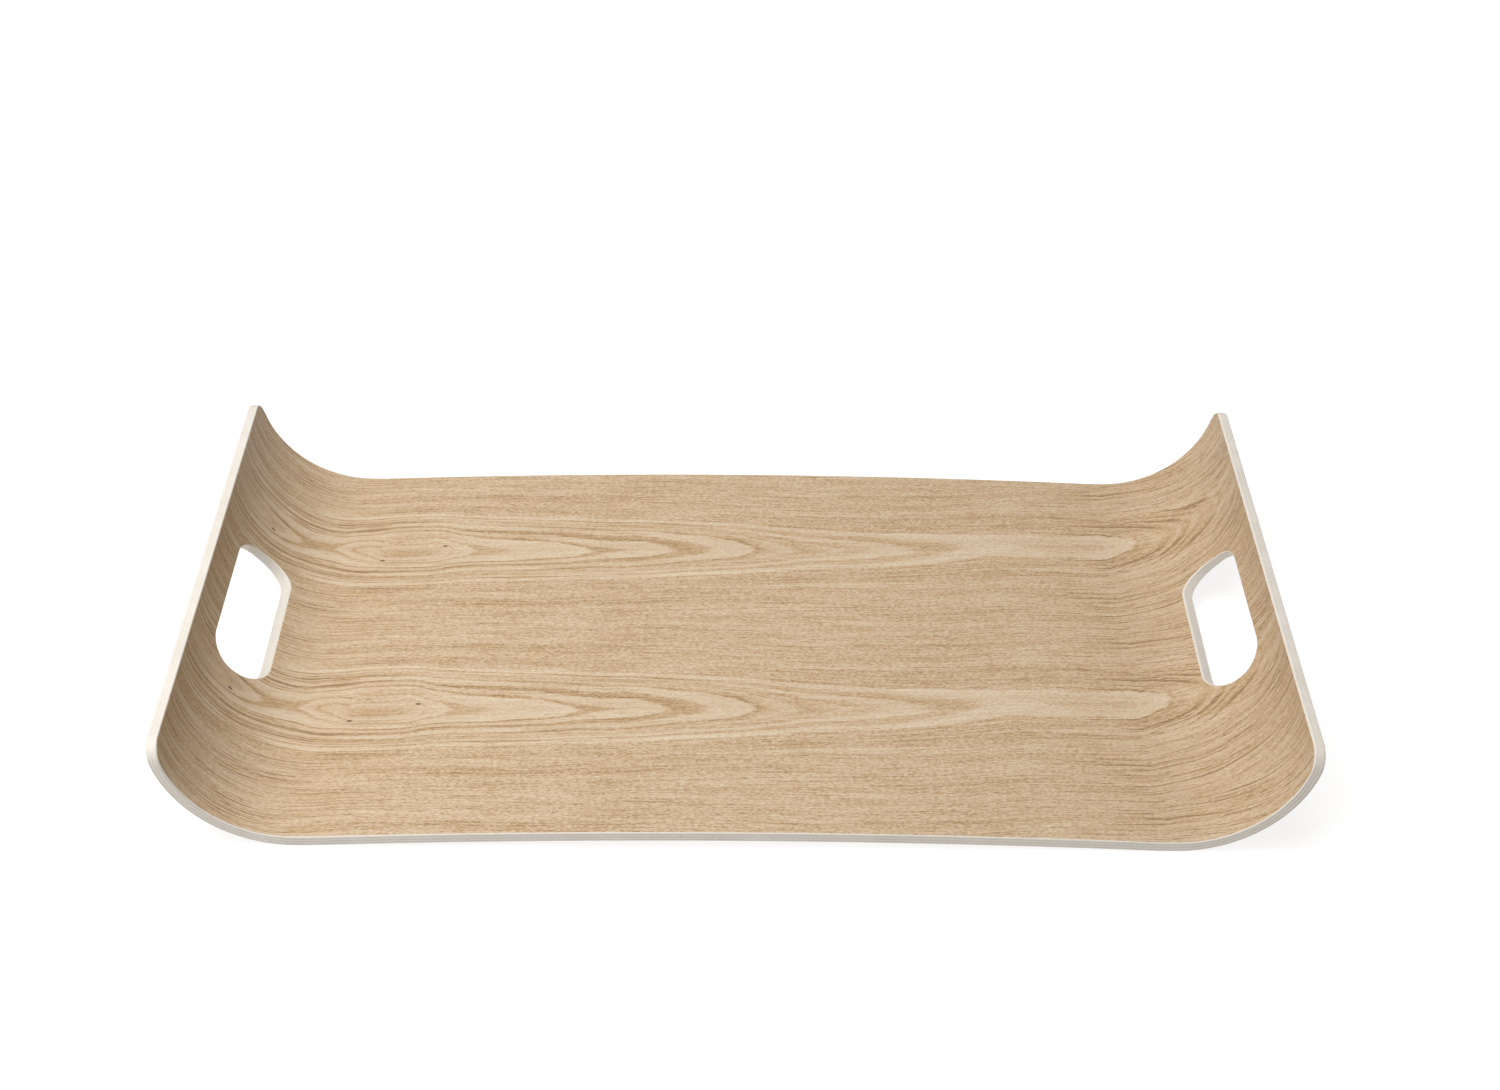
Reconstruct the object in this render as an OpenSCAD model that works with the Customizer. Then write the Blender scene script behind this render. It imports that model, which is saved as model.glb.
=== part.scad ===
// Serving tray of moulded plywood: one sheet of seven plies, pressed so that both ends curl up.
// X runs along the tray, Y across it and Z up. The origin is under the tray's middle, at table level.

/* [Sheet] */
// Length of the crowned floor, between the two strips that the tray rests on
floor_length = 378; // [280:2:480]
// Width of the sheet
tray_width = 285; // [240:5:400]
// Inner radius of the bend at each end
bend_radius = 55.3; // [50:0.1:64]
// Slope that each end reaches at its rim, in degrees
wall_angle = 84.5; // [78:0.5:89.5]
// Rise of the floor's middle above its two ends
floor_crown = 4.2; // [2:0.2:8]
// Width of each of the two level strips, between the floor and a bend
rest_strip = 6; // [4:1:12]
// Radius of the sheet's four corners
corner_radius = 10; // [4:1:16]

/* [Hand-holes] */
// Width of each hand-hole, across the tray
hole_width = 93; // [76:1:110]
// Height of each hand-hole, square to its cutter
hole_height = 31; // [30:1:36]
// Radius of each hand-hole's corners
hole_radius = 14.5; // [6:0.5:14.5]
// Distance along the inner face from the rim down to the hand-hole
hole_drop = 20.5; // [16:0.5:24]
// Tilt of the hand-hole's cutter below level, in degrees
hole_tilt = 28; // [20:1:36]

/* [Plies] */
// Thickness of the face veneer and of the backing veneer
veneer = 0.6; // [0.5:0.05:0.9]
// Thickness of each of the five core plies
core_ply = 0.76; // [0.5:0.02:0.9]
// Width of one whole leaf of veneer
leaf_width = 128.5; // [90:0.5:130]
// Width of the trimmed leaf along the front edge
front_leaf_width = 28; // [15:1:60]

/* [Hidden] */

$fn = 128;
// The crown's radius is some 4 m, so its circle needs far more sides than the bends do
crown_sides = 3600;
// How far a cutter reaches past what it cuts
margin = 2;
// How far a corner's arc stands outside the sheet's edges, so that it crosses them cleanly
arc_overrun = 0.02;

sheet = 2 * veneer + 5 * core_ply;
half_width = tray_width / 2;
front_seam = front_leaf_width - half_width;
back_seam = front_seam + leaf_width;

// Where the resting strip starts, and the centres of the bend and of the small arc above its two ends
strip_x = floor_length / 2;
bend_x = strip_x + rest_strip;
centre_z = sheet + bend_radius;

// The crown meets the small arc on the line through both their centres, which are this far apart in height
centre_drop = (strip_x * strip_x - floor_crown * floor_crown) / (2 * floor_crown);
crown_radius = centre_drop + floor_crown - bend_radius;

// The top of the hand-hole on the inner face, and the hole's middle on its cutter's axis
hole_top_slope = wall_angle - hole_drop / bend_radius * 180 / PI;
hole_x = bend_x + bend_radius * sin(hole_top_slope) - hole_height / 2 * sin(hole_tilt);
hole_z = centre_z - bend_radius * cos(hole_top_slope) - hole_height / 2 * cos(hole_tilt);

// The inner edge of the rim
rim_x = bend_x + bend_radius * sin(wall_angle);
rim_z = centre_z - bend_radius * cos(wall_angle);

// Part of a flat ring between two radii, inside the triangle from its centre to two points
module ring_sector(inner, outer, from, to, sides = $fn) {
    intersection() {
        difference() {
            circle(r = outer, $fn = sides);
            circle(r = inner, $fn = sides);
        }
        polygon([[0, 0], from, to]);
    }
}

// One end of a ply seen from the side: the small arc, the resting strip and the bend
module end_profile(upper, lower) {
    inner = bend_radius + upper;
    outer = bend_radius + lower;
    to_crown = [-strip_x, -centre_drop] / 10;
    reach = 2 * outer;
    translate([strip_x, centre_z])
        ring_sector(inner, outer, to_crown, [0, to_crown.y]);
    translate([strip_x, sheet - lower])
        square([rest_strip, lower - upper]);
    translate([bend_x, centre_z])
        ring_sector(inner, outer, [0, -reach], reach * [sin(wall_angle), -cos(wall_angle)]);
}

// A whole ply seen from the side, between two depths below the face
module ply_profile(upper, lower) {
    translate([0, centre_z - centre_drop])
        ring_sector(crown_radius - lower, crown_radius - upper,
            [strip_x, centre_drop], [-strip_x, centre_drop], crown_sides);
    end_profile(upper, lower);
    mirror([1, 0])
        end_profile(upper, lower);
}

// Outline of a hand-hole, with its height along X
module hole_outline() {
    flat_h = hole_height - 2 * hole_radius;
    flat_w = hole_width - 2 * hole_radius;
    square([hole_height, flat_w], center = true);
    square([flat_h, hole_width], center = true);
    for (x = [-1, 1], y = [-1, 1])
        translate([x * flat_h / 2, y * flat_w / 2])
            circle(r = hole_radius);
}

// What is cut off to round one corner, with the rim along Y and the sheet on the +X side of it
module corner_waste() {
    difference() {
        translate([-margin, half_width - corner_radius])
            square(corner_radius + margin);
        translate([corner_radius, half_width - corner_radius])
            circle(r = corner_radius + arc_overrun);
    }
}

// A cut through the wall of the right end, straight along a line tilted below level
module cut_through(x, z, tilt, length) {
    translate([x, 0, z])
        rotate([0, 90 + tilt, 0])
            translate([0, 0, -length / 2])
                linear_extrude(length)
                    children();
}

// The hand-hole and the two rounded corners of the right end
module end_cuts() {
    cut_through(hole_x, hole_z, hole_tilt, 36)
        hole_outline();
    cut_through(rim_x, rim_z, 90 - wall_angle, 20)
        corner_waste();
    cut_through(rim_x, rim_z, 90 - wall_angle, 20)
        mirror([0, 1])
            corner_waste();
}

// A ply, or a leaf of one, between two depths below the face and two lines along the tray
module ply(upper, lower, front = -half_width, back = half_width) {
    difference() {
        translate([0, back, 0])
            rotate([90, 0, 0])
                linear_extrude(back - front)
                    ply_profile(upper, lower);
        end_cuts();
        mirror([1, 0, 0])
            end_cuts();
    }
}

// A core ply, counted from 0 under the face veneer
module core(n) {
    ply(veneer + n * core_ply, veneer + (n + 1) * core_ply);
}

module face_leaf_back() {
    color("burlywood") ply(0, veneer, back_seam, half_width);
}

module face_leaf_middle() {
    color("tan") ply(0, veneer, front_seam, back_seam);
}

module face_leaf_front() {
    color("burlywood") ply(0, veneer, -half_width, front_seam);
}

module cross_ply_upper() {
    color("cornsilk") core(0);
}

module long_ply_upper() {
    color("wheat") core(1);
}

module cross_ply_middle() {
    color("cornsilk") core(2);
}

module long_ply_lower() {
    color("wheat") core(3);
}

module cross_ply_lower() {
    color("cornsilk") core(4);
}

module backing_leaf_back() {
    color("burlywood") ply(sheet - veneer, sheet, back_seam, half_width);
}

module backing_leaf_middle() {
    color("tan") ply(sheet - veneer, sheet, front_seam, back_seam);
}

module backing_leaf_front() {
    color("burlywood") ply(sheet - veneer, sheet, -half_width, front_seam);
}

face_leaf_back();
face_leaf_middle();
face_leaf_front();
cross_ply_upper();
long_ply_upper();
cross_ply_middle();
long_ply_lower();
cross_ply_lower();
backing_leaf_back();
backing_leaf_middle();
backing_leaf_front();
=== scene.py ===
"""A serving tray of moulded plywood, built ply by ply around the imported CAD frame."""

import math

import bpy
from mathutils import Matrix, Vector


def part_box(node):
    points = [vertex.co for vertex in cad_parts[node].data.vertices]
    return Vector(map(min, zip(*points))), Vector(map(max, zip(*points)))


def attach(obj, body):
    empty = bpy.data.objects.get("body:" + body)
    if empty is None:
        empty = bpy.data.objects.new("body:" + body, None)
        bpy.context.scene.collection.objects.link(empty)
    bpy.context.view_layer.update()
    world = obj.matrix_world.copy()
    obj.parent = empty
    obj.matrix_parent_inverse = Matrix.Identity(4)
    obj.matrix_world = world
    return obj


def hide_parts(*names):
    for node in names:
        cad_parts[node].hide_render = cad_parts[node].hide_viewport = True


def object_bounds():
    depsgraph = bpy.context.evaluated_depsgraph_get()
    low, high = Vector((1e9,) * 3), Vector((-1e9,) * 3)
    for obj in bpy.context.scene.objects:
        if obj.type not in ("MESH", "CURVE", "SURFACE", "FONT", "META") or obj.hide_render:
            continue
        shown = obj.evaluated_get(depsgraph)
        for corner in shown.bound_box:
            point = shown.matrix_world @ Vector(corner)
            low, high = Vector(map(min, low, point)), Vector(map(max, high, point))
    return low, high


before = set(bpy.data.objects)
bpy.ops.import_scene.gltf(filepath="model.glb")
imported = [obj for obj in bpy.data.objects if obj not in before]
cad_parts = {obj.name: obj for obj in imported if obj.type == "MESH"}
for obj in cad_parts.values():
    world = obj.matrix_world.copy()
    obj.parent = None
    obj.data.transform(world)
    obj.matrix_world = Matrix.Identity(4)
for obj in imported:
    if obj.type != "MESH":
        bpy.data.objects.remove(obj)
cad_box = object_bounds()

MM = 0.001

# The sheet's driving dimensions, as the CAD has them, in metres
FLOOR_LENGTH = 0.378
REST_STRIP = 0.006
BEND_RADIUS = 0.0553
WALL_ANGLE = math.radians(84.5)
FLOOR_CROWN = 0.0042
CORNER_RADIUS = 0.010
HOLE_WIDTH = 0.093
HOLE_HEIGHT = 0.031
HOLE_RADIUS = 0.0145
HOLE_DROP = 0.0205
HOLE_TILT = math.radians(28)
# Radius that the edges are sanded to
EASED = 0.0008

# What the frame gives: the plies' depths, the seams and the sheet's half width
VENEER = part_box("backing_leaf_middle")[0].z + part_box("cross_ply_lower")[0].z
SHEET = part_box("face_leaf_middle")[0].z + VENEER
HALF_WIDTH = cad_box[1].y
BACK_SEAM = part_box("face_leaf_back")[0].y
FRONT_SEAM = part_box("face_leaf_front")[1].y

# Derived places on the sheet's profile, seen along Y
STRIP_X = FLOOR_LENGTH / 2
BEND_X = STRIP_X + REST_STRIP
CENTRE_Z = SHEET + BEND_RADIUS
CENTRE_DROP = (STRIP_X**2 - FLOOR_CROWN**2) / (2 * FLOOR_CROWN)
CROWN_RADIUS = CENTRE_DROP + FLOOR_CROWN - BEND_RADIUS
CROWN_SLOPE = math.atan2(STRIP_X, CENTRE_DROP)

# Distances along the face from the tray's middle to where each stretch of the profile ends
CROWN_END = CROWN_RADIUS * CROWN_SLOPE
STRIP_START = CROWN_END + BEND_RADIUS * CROWN_SLOPE
BEND_START = STRIP_START + REST_STRIP
RIM = BEND_START + BEND_RADIUS * WALL_ANGLE


def profile(s, depth):
    """x and z of the point at distance s >= 0 along the face and that depth below it."""
    if s <= CROWN_END:
        slope = s / CROWN_RADIUS
        radius = CROWN_RADIUS - depth
        return radius * math.sin(slope), CENTRE_Z - CENTRE_DROP + radius * math.cos(slope)
    radius = BEND_RADIUS + depth
    if s <= STRIP_START:
        slope = (STRIP_START - s) / BEND_RADIUS
        return STRIP_X - radius * math.sin(slope), CENTRE_Z - radius * math.cos(slope)
    if s <= BEND_START:
        return STRIP_X + s - STRIP_START, SHEET - depth
    slope = (s - BEND_START) / BEND_RADIUS
    return BEND_X + radius * math.sin(slope), CENTRE_Z - radius * math.cos(slope)


class Cutter:
    """A cut straight through the bend, tilted below level. Up is measured square to the cut."""

    def __init__(self, tilt, x, z):
        self.tilt = tilt
        self.centre_up = (BEND_X - x) * math.sin(tilt) + (CENTRE_Z - z) * math.cos(tilt)

    def reach(self, up, depth):
        """Distance along the face at which the cut, at this height, meets the layer at this depth."""
        turn = math.acos((self.centre_up - up) / (BEND_RADIUS + depth)) - self.tilt
        return BEND_START + BEND_RADIUS * turn


hole_top_x, hole_top_z = profile(RIM - HOLE_DROP, 0)
hole_cutter = Cutter(
    HOLE_TILT,
    hole_top_x - HOLE_HEIGHT / 2 * math.sin(HOLE_TILT),
    hole_top_z - HOLE_HEIGHT / 2 * math.cos(HOLE_TILT),
)
rim_cutter = Cutter(math.pi / 2 - WALL_ANGLE, *profile(RIM, 0))

# Half the straight part of the hole's outline, across the tray and up the wall
HOLE_FLAT_Y = HOLE_WIDTH / 2 - HOLE_RADIUS
HOLE_FLAT_UP = HOLE_HEIGHT / 2 - HOLE_RADIUS

# Steps of the grid that every ply is made on, from the middle outwards, and across from front to back
FLOOR_STEPS, SMALL_ARC_STEPS, STRIP_STEPS, LOW_BEND_STEPS = 24, 2, 2, 16
HOLE_ARC_STEPS, HOLE_FLAT_STEPS, HIGH_BEND_STEPS, CORNER_STEPS = 8, 3, 6, 9
ROW_STEPS = (5, 11, 7, 4, 14)
EASE_STEPS = 6
# A step of the eased edge that is nearer than this to a ply's face is left out
LEAST_STEP = 0.03 * MM
# Edges sharper than this are shaded as sharp
SHARP_ANGLE = math.radians(40)


def spread(start, end, steps):
    """Even steps from start, up to but not including end."""
    return [start + (end - start) * k / steps for k in range(steps)]


def cross_lines(depth, inset):
    """The grid's lines across the right half of the sheet.

    For each: its distance along the face, the half width of the gap between its two hole edges,
    the sheet's half width, and whether the hole lies just beyond it.
    """
    half = HALF_WIDTH - inset
    hole_radius = HOLE_RADIUS + inset
    corner_radius = CORNER_RADIUS - inset
    quarter = math.pi / 2
    lines = []

    def add(places):
        lines.extend((s, HOLE_FLAT_Y, half, False) for s in places)

    def add_hole(places):
        for up, width in places:
            lines.append((hole_cutter.reach(up, depth), HOLE_FLAT_Y + width, half, True))

    add(spread(0, CROWN_END, FLOOR_STEPS))
    add(spread(CROWN_END, STRIP_START, SMALL_ARC_STEPS))
    add(spread(STRIP_START, BEND_START, STRIP_STEPS))
    hole_low = hole_cutter.reach(-HOLE_FLAT_UP - hole_radius, depth)
    add(spread(BEND_START, hole_low, LOW_BEND_STEPS))
    turns = spread(0, quarter, HOLE_ARC_STEPS)
    add_hole((-HOLE_FLAT_UP - hole_radius * math.cos(a), hole_radius * math.sin(a)) for a in turns)
    add_hole((up, hole_radius) for up in spread(-HOLE_FLAT_UP, HOLE_FLAT_UP, HOLE_FLAT_STEPS))
    add_hole((HOLE_FLAT_UP + hole_radius * math.sin(a), hole_radius * math.cos(a)) for a in turns)
    hole_high = hole_cutter.reach(HOLE_FLAT_UP + hole_radius, depth)
    corner_start = rim_cutter.reach(-CORNER_RADIUS, depth)
    add(spread(hole_high, corner_start, HIGH_BEND_STEPS))
    for a in spread(0, quarter, CORNER_STEPS) + [quarter]:
        s = rim_cutter.reach(corner_radius * math.sin(a) - CORNER_RADIUS, depth)
        lines.append((s, HOLE_FLAT_Y, HALF_WIDTH - CORNER_RADIUS + corner_radius * math.cos(a), False))
    return lines


def eased_inset(depth):
    """How far the sanded edge stands in from the full outline at this depth."""
    near = min(depth, SHEET - depth)
    if near >= EASED:
        return 0.0
    return EASED - math.sqrt(EASED**2 - (EASED - near) ** 2)


def grid(depth):
    """Every grid point at this depth, as rows of (s, x, y, z), from the left rim to the right one."""
    columns = []
    for s, gap, half, _ in cross_lines(depth, eased_inset(depth)):
        x, z = profile(s, depth)
        stops = (-half, FRONT_SEAM, -gap, BACK_SEAM, gap, half)
        ys = [y for a, b, n in zip(stops, stops[1:], ROW_STEPS) for y in spread(a, b, n)] + [half]
        columns.append([(s, x, y, z) for y in ys])
    mirrored = [[(-s, -x, y, z) for s, x, y, z in column] for column in columns[:0:-1]]
    return mirrored + columns


HALF_LINES = cross_lines(0, 0)
HALF_COUNT = len(HALF_LINES)
FRONT_ROW = ROW_STEPS[0]
HOLE_ROWS = range(sum(ROW_STEPS[:2]), sum(ROW_STEPS[:4]))
BACK_ROW = sum(ROW_STEPS[:3])
LAST_ROW = sum(ROW_STEPS)


def in_hole(i, j):
    """Whether the cell that starts at line i and row j is cut away."""
    side = i - (HALF_COUNT - 1) if i >= HALF_COUNT - 1 else (HALF_COUNT - 1) - (i + 1)
    return HALF_LINES[side][3] and j in HOLE_ROWS


def level_depths(top, bottom):
    """The depths of the rings of points on a ply's edge: its two faces, and the eased edge's steps."""
    steps = [EASED * (1 - math.cos(math.pi / 2 * k / EASE_STEPS)) for k in range(1, EASE_STEPS + 1)]
    steps += [SHEET - d for d in steps]
    inside = [d for d in steps if top + LEAST_STEP < d < bottom - LEAST_STEP]
    return [top] + sorted(inside) + [bottom]


def build_ply(name, top, bottom, first_row, last_row, figure_line):
    """A closed mesh of the layer between two depths and two rows.

    Each point keeps its place in the flat sheet as the attribute "grain": millimetres along the
    tray, across from the leaf's figure line, and below the face.
    """
    cells = [
        (i, j)
        for i in range(2 * HALF_COUNT - 2)
        for j in range(first_row, last_row)
        if not in_hole(i, j)
    ]
    loops = [((i, j), (i + 1, j), (i + 1, j + 1), (i, j + 1)) for i, j in cells]
    edges = {(loop[k], loop[(k + 1) % 4]) for loop in loops for k in range(4)}
    border = [(a, b) for a, b in sorted(edges) if (b, a) not in edges]
    everywhere = sorted({point for loop in loops for point in loop})
    around = sorted({point for edge in border for point in edge})

    depths = level_depths(top, bottom)
    index, places, grain = {}, [], []
    for level, depth in enumerate(depths):
        points = grid(depth)
        for i, j in everywhere if level in (0, len(depths) - 1) else around:
            s, x, y, z = points[i][j]
            index[level, i, j] = len(places)
            places.append((x, y, z))
            grain.extend((s / MM, (y - figure_line) / MM, depth / MM))

    last = len(depths) - 1
    faces = [[index[0, i, j] for i, j in loop] for loop in loops]
    faces += [[index[last, i, j] for i, j in reversed(loop)] for loop in loops]
    for level in range(last):
        faces += [
            [index[level + 1, *a], index[level + 1, *b], index[level, *b], index[level, *a]]
            for a, b in border
        ]

    mesh = bpy.data.meshes.new(name)
    mesh.from_pydata(places, [], faces)
    mesh.attributes.new("grain", "FLOAT_VECTOR", "POINT").data.foreach_set("vector", grain)
    mesh.polygons.foreach_set("use_smooth", [True] * len(faces))
    mesh.set_sharp_from_angle(angle=SHARP_ANGLE)
    piece = bpy.data.objects.new(name, mesh)
    bpy.context.scene.collection.objects.link(piece)
    weighted = piece.modifiers.new("face_normals", "WEIGHTED_NORMAL")
    weighted.keep_sharp = True
    return piece


class Shading:
    """One material, with short calls that add nodes to it and link them."""

    def __init__(self, name):
        self.material = bpy.data.materials.new(name)
        self.material.use_nodes = True
        self.tree = self.material.node_tree
        self.shader = self.tree.nodes["Principled BSDF"]

    def put(self, value, socket):
        if isinstance(value, bpy.types.NodeSocket):
            self.tree.links.new(value, socket)
        else:
            socket.default_value = value

    def node(self, kind, *values, **settings):
        node = self.tree.nodes.new("ShaderNode" + kind)
        for key, value in settings.items():
            setattr(node, key, value)
        for value, socket in zip(values, node.inputs):
            if value is not None:
                self.put(value, socket)
        return node

    def math(self, operation, a, b=0.0, c=0.0):
        return self.node("Math", a, b, c, operation=operation).outputs[0]

    def grain(self):
        """Along, across and depth in the flat sheet, in millimetres."""
        attribute = self.node("Attribute", attribute_name="grain")
        return self.node("SeparateXYZ", attribute.outputs["Vector"]).outputs

    def noise(self, x, y, x_rate, y_rate, z, detail=2.0, roughness=0.5):
        """Smooth noise around 0, from about -0.5 to 0.5, that changes at these rates with x and y."""
        x = self.math("MULTIPLY", x, x_rate)
        y = self.math("MULTIPLY", y, y_rate)
        z = self.math("MULTIPLY_ADD", y, 0.7, z)
        vector = self.node("CombineXYZ", x, y, z).outputs[0]
        noise = self.node("TexNoise")
        self.put(vector, noise.inputs["Vector"])
        noise.inputs["Scale"].default_value = 1.0
        noise.inputs["Detail"].default_value = detail
        noise.inputs["Roughness"].default_value = roughness
        return self.math("SUBTRACT", noise.outputs["Fac"], 0.5)

    def curve(self, value, points, handle="AUTO_CLAMPED"):
        """A smooth curve through the points, all of whose numbers may be of any size."""
        xs, ys = [p[0] for p in points], [p[1] for p in points]
        low, high, base, top = min(xs), max(xs), min(ys), max(ys)
        inside = self.node("MapRange", value, low, high, 0.0, 1.0).outputs[0]
        node = self.node("FloatCurve")
        curve = node.mapping.curves[0]
        while len(curve.points) < len(points):
            curve.points.new(0.5, 0.5)
        for point, (x, y) in zip(curve.points, points):
            point.location = ((x - low) / (high - low), (y - base) / (top - base))
            point.handle_type = handle
        node.mapping.update()
        self.put(inside, node.inputs["Value"])
        return self.node("MapRange", node.outputs[0], 0.0, 1.0, base, top).outputs[0]

    def smooth(self, value, low, high, start=0.0, end=1.0):
        """A smooth step from start to end while value goes from low to high."""
        node = self.node("MapRange", value, low, high, start, end, interpolation_type="SMOOTHSTEP")
        return node.outputs[0]

    def mix(self, share, a, b):
        node = self.node("Mix", data_type="RGBA", clamp_factor=True)
        self.put(share, node.inputs[0])
        self.put(a, node.inputs[6])
        self.put(b, node.inputs[7])
        return node.outputs[2]

    def ramp(self, value, stops):
        """Colours between which value is blended."""
        node = self.node("ValToRGB")
        elements = node.color_ramp.elements
        while len(elements) < len(stops):
            elements.new(1.0)
        for element, (place, colour) in zip(elements, stops):
            element.position = place
            element.color = colour
        self.put(value, node.inputs[0])
        return node.outputs[0]

    def relief(self, height, strength, distance):
        """Bumps the surface by a height map."""
        bump = self.node("Bump")
        bump.inputs["Strength"].default_value = strength
        bump.inputs["Distance"].default_value = distance
        self.put(height, bump.inputs["Height"])
        self.put(bump.outputs[0], self.shader.inputs["Normal"])


def rgb(red, green, blue):
    """A colour given as on a screen, from 0 to 255, as linear light."""

    def linear(value):
        value /= 255
        return value / 12.92 if value <= 0.04045 else ((value + 0.055) / 1.055) ** 2.4

    return (linear(red), linear(green), linear(blue), 1.0)


# The veneer's figure, in millimetres of the leaf. The log's heart runs under the figure line.
# Along the leaf: how far the wide rings' middle strays sideways, how much further the innermost
# rings' middle does, and how deep the heart lies
HEART_DRIFT = [
    (-277, 4), (-250, 3), (-221, 1.5), (-195, 2.2), (-165, 3.2), (-100, 1.5), (-30, 1.2),
    (57, 1.3), (92, 3), (117, 6), (142, 8.6), (190, 10), (209, 13), (252, 11), (277, 9),
]  # fmt: skip
EYE_DRIFT = [
    (-277, 0), (-225, -1), (-205, 1.5), (-184, -2.5), (-167, -4), (-146, -2), (-120, -2.6),
    (-72, -2.4), (-31, -1.4), (10, -1.4), (100, 0), (277, 0),
]  # fmt: skip
HEART_DEPTH = [
    (-277, 6), (-250, 8), (-235, 10), (-225, 11.7), (-216, 12.7), (-210, 12.4), (-203, 11.5),
    (-197, 9.3), (-184, 6.5), (-167, 2), (-150, 6.4), (-146, 9.2), (-139, 11), (-130, 12.4),
    (-115, 13.3), (-90, 15), (-72, 17), (-56, 17.7), (-50, 17.9), (-31, 19.9), (-14, 21.6),
    (0, 23), (10, 24.4), (18, 25.3), (32, 26.5), (58, 27.7), (92, 29.3), (116, 30.4),
    (130, 30.8), (150, 30.4), (185, 30.4), (193, 31.1), (209, 33), (221, 35.2), (236, 38.5),
    (252, 40.8), (277, 43.8),
]  # fmt: skip
# Tone of the wood at each ring radius, from 0 in the darkest line to 1 in the palest wood
RING_TONES = [
    (0, 0.25), (4, 0.3), (7.5, 0.65), (8.8, 0.72), (9.1, 0.4), (9.6, 0.45), (10.2, 0.72),
    (12, 0.85), (12.3, 0.25), (13, 0.32), (13.6, 0.75), (16.7, 0.95), (17, 0.1), (17.5, 0.2),
    (17.9, 0.75), (19.5, 0.8), (19.9, 0.05), (20.8, 0.15), (21.5, 0.3), (21.9, 0.8),
    (24.1, 0.85), (24.4, 0.1), (24.9, 0.35), (25.5, 0.6), (26.2, 0.75), (26.5, 0.25), (27, 0.5),
    (27.5, 0.7), (27.7, 0.3), (28.1, 0.5), (28.5, 0.85), (29.2, 0.85), (29.4, 0.3), (30.3, 0.4),
    (30.7, 0.85), (32.5, 0.92), (32.9, 0.25), (33.2, 0.5), (33.6, 0.25), (34, 0.55),
    (34.8, 0.5), (35.1, 0.25), (35.6, 0.55), (36.4, 0.25), (37, 0.55), (38.5, 0.3), (39, 0.5),
    (40.8, 0.35), (41.4, 0.5),
]  # fmt: skip
# Spacing of the plain rings outside these
OUTER_RING = 1.9
# Small dark specks beside the innermost rings: place along the leaf and across from the figure line
SPECKS = [(-150, 5), (-181, -6.5), (-240, -3.5)]
SPECK_LENGTH = 1.7
# Distances from the tray's middle between which the bends' stronger grain lines set in
BEND_BLEND = (140, 210)
# Colours, as on a screen, of the lacquered wood from the darkest tone to the palest
TONE_COLOURS = [
    (0.0, (143, 117, 87)), (0.3, (171, 144, 109)), (0.5, (182, 159, 132)),
    (0.75, (189, 169, 145)), (1.0, (198, 185, 160)),
]  # fmt: skip
PORE_COLOUR = (122, 96, 68)
SPECK_COLOUR = (84, 60, 40)
# Darkest and palest colours of the sanded edges, and of the pits in the core's
FACE_EDGE_COLOURS = ((200, 192, 180), (212, 205, 196))
CORE_COLOURS = ((170, 161, 147), (217, 210, 201))
PIT_COLOUR = (110, 90, 68)


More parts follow.
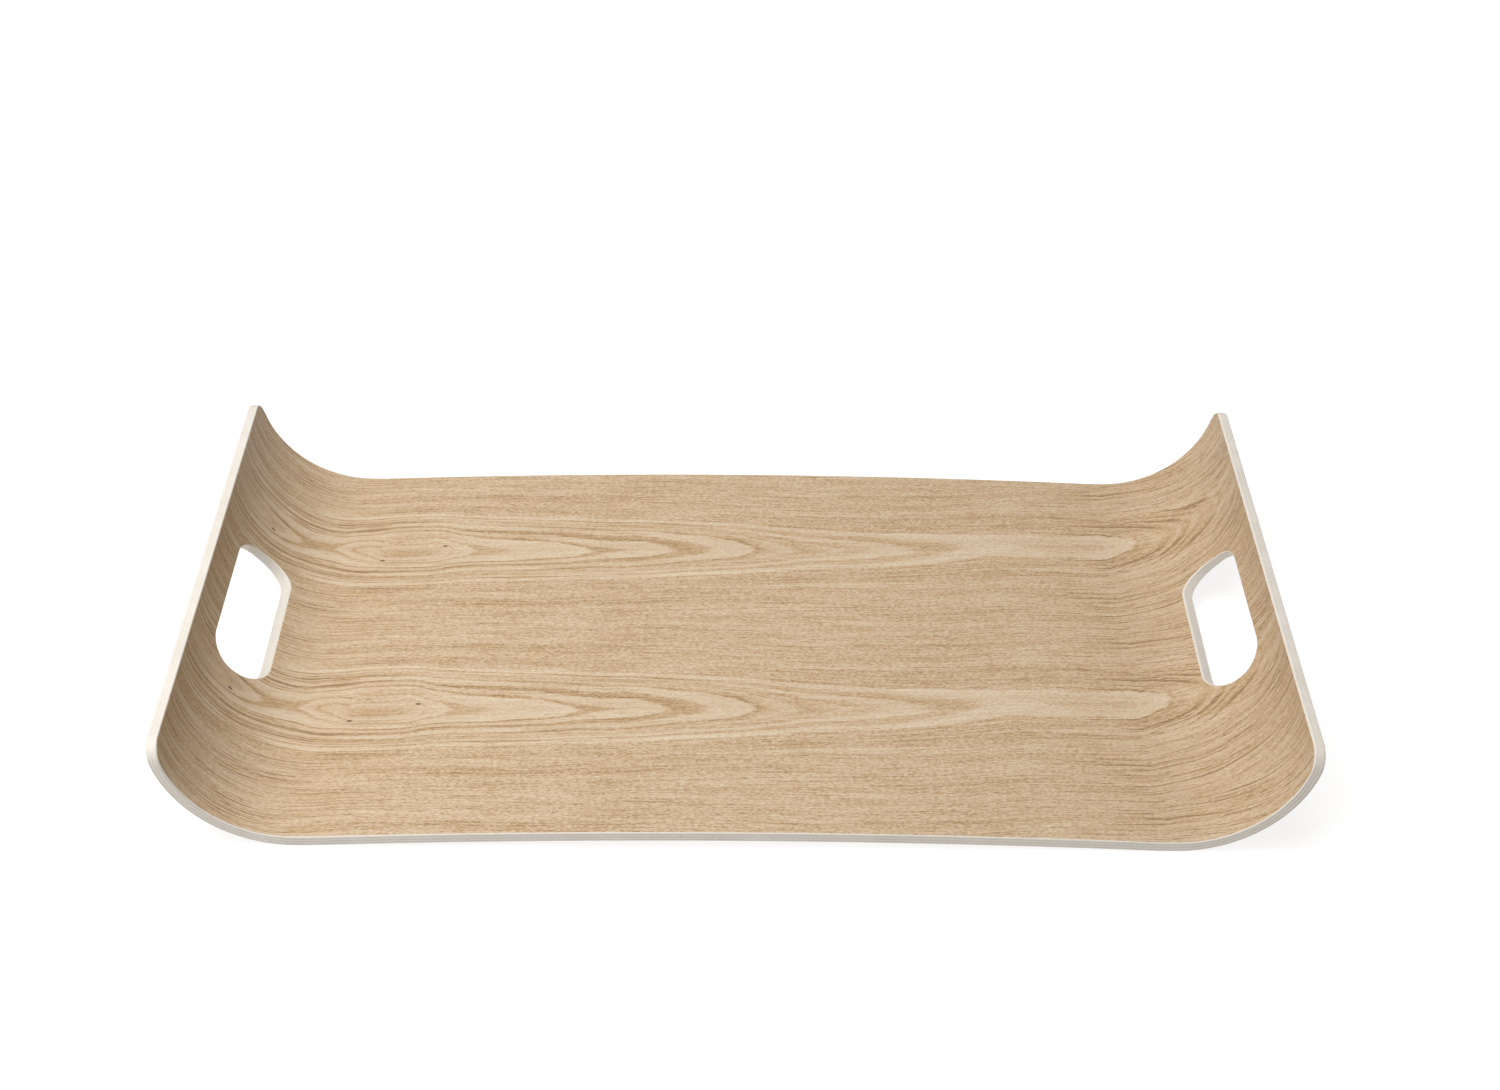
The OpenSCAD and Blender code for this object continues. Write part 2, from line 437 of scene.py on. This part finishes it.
def oak(name, shift, outer_depth):
    """Lacquered oak-like veneer, pale where it is sanded back at the sheet's edges.

    The figure line is the middle of the cathedrals, and shift moves off it. The outer depth is
    that of the face that shows.
    """
    m = Shading(name)
    along, across, depth = m.grain()
    across = m.math("ADD", across, shift)
    wander = m.noise(along, across, 0.012, 0.05, 1.0)
    from_heart = m.math("SUBTRACT", across, m.curve(along, HEART_DRIFT))
    from_wide = m.math("MULTIPLY_ADD", wander, 2.5, from_heart)
    near = m.smooth(m.math("ABSOLUTE", from_wide), 3, 16, 1, 0)
    offset = m.math("SUBTRACT", from_wide, m.math("MULTIPLY", near, m.curve(along, EYE_DRIFT)))
    away = m.math("ABSOLUTE", offset)
    heart = m.curve(along, HEART_DEPTH)
    square = m.math("MULTIPLY", away, m.math("ADD", away, 2.5))
    radius = m.math("SQRT", m.math("MULTIPLY_ADD", heart, heart, square))
    ripple = m.noise(along, offset, 0.04, 0.3, 2.0, detail=3)
    feather = m.noise(along, offset, 0.03, 1.1, 3.0, detail=2)
    radius = m.math("MULTIPLY_ADD", ripple, 1.0, radius)
    radius = m.math("MULTIPLY_ADD", feather, 0.7, radius)

    inner = m.curve(radius, RING_TONES, handle="VECTOR")
    last_ring = RING_TONES[-1][0]
    beat = m.noise(radius, 0.0, 0.35, 1.0, 7.3)
    count = m.math("MULTIPLY_ADD", beat, 1.8, m.math("DIVIDE", radius, OUTER_RING))
    line = m.math("ABSOLUTE", m.math("SUBTRACT", m.math("FRACT", count), 0.5))
    outer = m.smooth(line, 0.04, 0.2, 0.38, 0.54)
    band = m.noise(radius, along, 0.16, 0.004, 3.1)
    outer = m.math("MULTIPLY_ADD", band, 0.3, outer)
    tone = m.mix(m.smooth(radius, last_ring - 1, last_ring), inner, outer)
    tone = m.math("MULTIPLY_ADD", tone, 0.58, 0.21)

    dashes = m.noise(along, offset, 0.55, 1.3, 4.0, detail=2, roughness=0.6)
    streaks = m.noise(along, offset, 0.04, 0.95, 5.0, detail=2, roughness=0.6)
    bend = m.smooth(m.math("ABSOLUTE", along), *BEND_BLEND)
    dash_strength = m.math("MULTIPLY_ADD", bend, -0.35, 1)
    dash_strength = m.math("MULTIPLY", m.smooth(radius, 29, 33, 1.3, 1.8), dash_strength)
    tone = m.math("MULTIPLY_ADD", dashes, dash_strength, tone)
    tone = m.math("MULTIPLY_ADD", streaks, 0.8, tone)
    clouds = m.noise(along, offset, 0.012, 0.12, 6.0, detail=1)
    tone = m.math("MULTIPLY_ADD", clouds, 0.35, tone)
    fibres = m.smooth(m.noise(along, radius, 0.02, 1.6, 8.0, detail=1), 0.03, 0.15)
    fibres = m.math("MULTIPLY", fibres, m.smooth(away, 4, 12, 0.3, 1.1))
    fibre_strength = m.math("MULTIPLY_ADD", bend, -0.28, -0.17)
    tone = m.math("MULTIPLY_ADD", fibres, fibre_strength, tone)

    cells = m.noise(along, offset, 0.16, 1.9, 9.0, detail=1)
    crowd = m.math("MULTIPLY", m.math("SUBTRACT", 0.5, tone), 0.2)
    pores = m.smooth(m.math("ADD", cells, crowd), 0.13, 0.24)

    colour = m.ramp(tone, [(place, rgb(*shade)) for place, shade in TONE_COLOURS])
    colour = m.mix(m.math("MULTIPLY", pores, 0.5), colour, rgb(*PORE_COLOUR))
    for speck_along, speck_across in SPECKS:
        x = m.math("DIVIDE", m.math("SUBTRACT", along, speck_along), SPECK_LENGTH)
        y = m.math("SUBTRACT", across, speck_across)
        reach = m.math("MULTIPLY_ADD", x, x, m.math("MULTIPLY", y, y))
        colour = m.mix(m.smooth(reach, 0.2, 0.9, 0.85, 0), colour, rgb(*SPECK_COLOUR))
    below = m.math("ABSOLUTE", m.math("SUBTRACT", depth, outer_depth))
    sanded = m.smooth(below, 0.01, 0.1)
    edge = m.mix(m.math("ADD", 0.5, dashes), *(rgb(*shade) for shade in FACE_EDGE_COLOURS))
    m.put(m.mix(sanded, colour, edge), m.shader.inputs["Base Color"])
    m.put(m.math("MULTIPLY_ADD", pores, 0.2, 0.5), m.shader.inputs["Roughness"])
    m.shader.inputs["Specular IOR Level"].default_value = 0.1
    m.relief(m.math("SUBTRACT", m.math("MULTIPLY", dashes, 0.3), pores), 0.3, 0.06 * MM)
    return m.material


def core(name, end_axis, end_place, end_shade):
    """Core veneer as its sanded edge shows it. End grain, beyond a place along one axis, is darker."""
    m = Shading(name)
    grain = m.grain()
    along, across, depth = grain
    deep = m.math("MULTIPLY", depth, 2.2)
    fibres = m.noise(along, across, 0.5, 0.5, deep, detail=4, roughness=0.65)
    patches = m.noise(along, across, 0.05, 0.05, 2.0)
    end = m.smooth(m.math("ABSOLUTE", grain[end_axis]), end_place - 1.2, end_place - 0.4)
    tone = m.math("MULTIPLY_ADD", patches, 0.5, m.math("MULTIPLY_ADD", fibres, 0.5, 0.75))
    tone = m.math("SUBTRACT", tone, m.math("MULTIPLY", end, end_shade))
    pits = m.noise(along, across, 0.35, 0.35, deep, detail=1)
    colour = m.mix(tone, *(rgb(*shade) for shade in CORE_COLOURS))
    colour = m.mix(m.smooth(pits, 0.25, 0.3, 0, 0.6), colour, rgb(*PIT_COLOUR))
    m.put(colour, m.shader.inputs["Base Color"])
    m.shader.inputs["Roughness"].default_value = 0.62
    m.relief(fibres, 0.3, 0.1 * MM)
    return m.material


def paint_node(piece, node, material):
    """Makes a piece stand for its CAD node, on the body that has it, in its finish."""
    piece.data.materials.append(material)
    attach(piece, "root")
    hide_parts(node)


# The two whole leaves' figure lines are one leaf width apart, and the trimmed front leaf's would be one more
LEAF_WIDTH = BACK_SEAM - FRONT_SEAM
BACK_FIGURE = BACK_SEAM + 0.0589
LEAVES = {
    "back": (BACK_ROW, LAST_ROW, BACK_FIGURE),
    "middle": (FRONT_ROW, BACK_ROW, BACK_FIGURE - LEAF_WIDTH),
    "front": (0, FRONT_ROW, BACK_FIGURE - 2 * LEAF_WIDTH),
}
CORE_PLIES = [
    "cross_ply_upper",
    "long_ply_upper",
    "cross_ply_middle",
    "long_ply_lower",
    "cross_ply_lower",
]

face_material = oak("face_oak", 0.0, 0.0)
backing_material = oak("backing_oak", 96.0, SHEET / MM)
core_materials = {
    "cross_ply": core("cross_core", 1, HALF_WIDTH / MM, 0.3),
    "long_ply": core("long_core", 0, RIM / MM, 0.15),
}

for leaf, (first_row, last_row, figure_line) in LEAVES.items():
    node = "face_leaf_" + leaf
    piece = build_ply(node + "_veneer", 0.0, VENEER, first_row, last_row, figure_line)
    paint_node(piece, node, face_material)
    node = "backing_leaf_" + leaf
    piece = build_ply(node + "_veneer", SHEET - VENEER, SHEET, first_row, last_row, figure_line)
    paint_node(piece, node, backing_material)

core_top = VENEER
for node in CORE_PLIES:
    core_bottom = core_top + (SHEET - 2 * VENEER) / len(CORE_PLIES)
    piece = build_ply(node + "_veneer", core_top, core_bottom, 0, LAST_ROW, 0.0)
    slot = node.rsplit("_", 1)[0]
    paint_node(piece, node, core_materials[slot])
    core_top = core_bottom


# The studio floor's width, and how far under the tray it lies
FLOOR_WIDTH = 8.0
FLOOR_GAP = 0.0002


def make_stage():
    """A plain pale floor that glows a little, so that the shadows on it stay faint."""
    mesh = bpy.data.meshes.new("studio_floor")
    half = FLOOR_WIDTH / 2
    low = cad_box[0].z - FLOOR_GAP
    corners = [(-half, -half, low), (half, -half, low), (half, half, low), (-half, half, low)]
    mesh.from_pydata(corners, [], [(0, 1, 2, 3)])
    floor = bpy.data.objects.new("studio_floor", mesh)
    bpy.context.scene.collection.objects.link(floor)
    m = Shading("studio_floor")
    m.shader.inputs["Base Color"].default_value = (0.2, 0.2, 0.2, 1)
    m.shader.inputs["Roughness"].default_value = 0.9
    m.shader.inputs["Emission Color"].default_value = (1, 1, 1, 1)
    m.shader.inputs["Emission Strength"].default_value = 0.85
    mesh.materials.append(m.material)


def add_softbox(name, place, target, size, power):
    """A square area light that faces a point."""
    data = bpy.data.lights.new(name, "AREA")
    data.size, data.energy = size, power
    lamp = bpy.data.objects.new(name, data)
    bpy.context.scene.collection.objects.link(lamp)
    lamp.location = place
    lamp.rotation_euler = (Vector(target) - Vector(place)).to_track_quat("-Z", "Y").to_euler()


def make_light():
    """A dim white surround, a wide softbox overhead and a soft key from the front left."""
    world = bpy.data.worlds.new("studio")
    bpy.context.scene.world = world
    world.use_nodes = True
    background = world.node_tree.nodes["Background"]
    background.inputs["Color"].default_value = (1, 1, 1, 1)
    background.inputs["Strength"].default_value = 0.1
    add_softbox("overhead", (-0.3, 0.2, 1.5), (-0.1, 0.2, 0), 1.5, 28)
    add_softbox("key", (-0.8, -0.75, 1.2), (0, 0, 0), 1.0, 15.5)
    bpy.context.scene.view_settings.view_transform = "Standard"


# The camera looks at a point over the tray's middle, from the front and above
CAMERA_TARGET = Vector((0.0058, 0.0, 0.0638))
CAMERA_DISTANCE = 1.1733
CAMERA_PITCH = math.radians(35.30)
CAMERA_TURN = math.radians(0.43)
CAMERA_ROLL = math.radians(0.68)
CAMERA_LENS = 59.34
FILM_WIDTH = 36.0


def make_camera():
    """The camera, turned about its target, tipped down and rolled a little."""
    data = bpy.data.cameras.new("camera")
    data.lens, data.sensor_width = CAMERA_LENS, FILM_WIDTH
    camera = bpy.data.objects.new("camera", data)
    bpy.context.scene.collection.objects.link(camera)
    forward = Vector(
        (
            math.sin(CAMERA_TURN) * math.cos(CAMERA_PITCH),
            math.cos(CAMERA_TURN) * math.cos(CAMERA_PITCH),
            -math.sin(CAMERA_PITCH),
        )
    )
    level = Vector((math.cos(CAMERA_TURN), -math.sin(CAMERA_TURN), 0))
    upright = level.cross(forward)
    right = math.cos(CAMERA_ROLL) * level + math.sin(CAMERA_ROLL) * upright
    up = math.cos(CAMERA_ROLL) * upright - math.sin(CAMERA_ROLL) * level
    turn = Matrix((right, up, -forward)).transposed().to_4x4()
    camera.matrix_world = Matrix.Translation(CAMERA_TARGET - forward * CAMERA_DISTANCE) @ turn
    bpy.context.scene.camera = camera


make_camera()
make_light()
make_stage()
